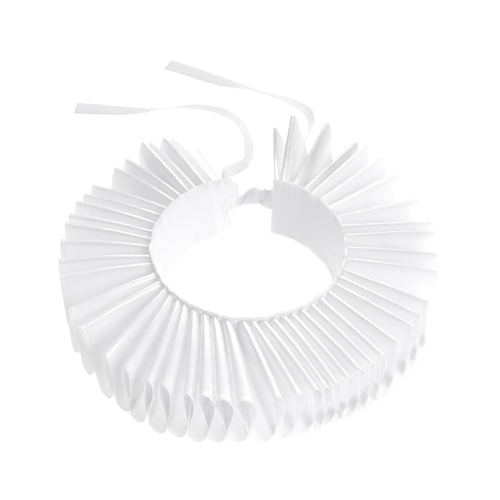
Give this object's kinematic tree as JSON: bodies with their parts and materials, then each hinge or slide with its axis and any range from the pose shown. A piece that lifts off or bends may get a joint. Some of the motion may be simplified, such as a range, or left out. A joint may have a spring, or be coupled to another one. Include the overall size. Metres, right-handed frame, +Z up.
{
  "type": "ruff collar",
  "caption": "Satin ruff collar: a strip in organ pleats sewn round a standing neckband, open at the back, with knotted ribbon ties that trail behind.",
  "frame": {"origin": "the middle of the whole part's footprint, on the surface that the collar and its ribbons rest on", "axes": "+Z is up, +Y points behind the wearer to the collar's opening and the ribbons' ends, +X points to the wearer's left"},
  "size_m": [0.247, 0.3553, 0.0543],
  "materials": {
    "band_satin": "white polyester satin, folded double and topstitched, soft sheen",
    "ruff_satin": "white polyester satin, bright sheen along the pleats, narrow hem",
    "tie_satin": "white satin ribbon with woven edges"
  },
  "bodies": {
    "root": {"neckband": "band_satin", "ruff": "ruff_satin", "tie_base_left": "tie_satin", "tie_base_right": "tie_satin", "tie_knot": "tie_satin", "tie_tail_near": "tie_satin", "tie_tail_far": "tie_satin"}
  },
  "joints": []
}
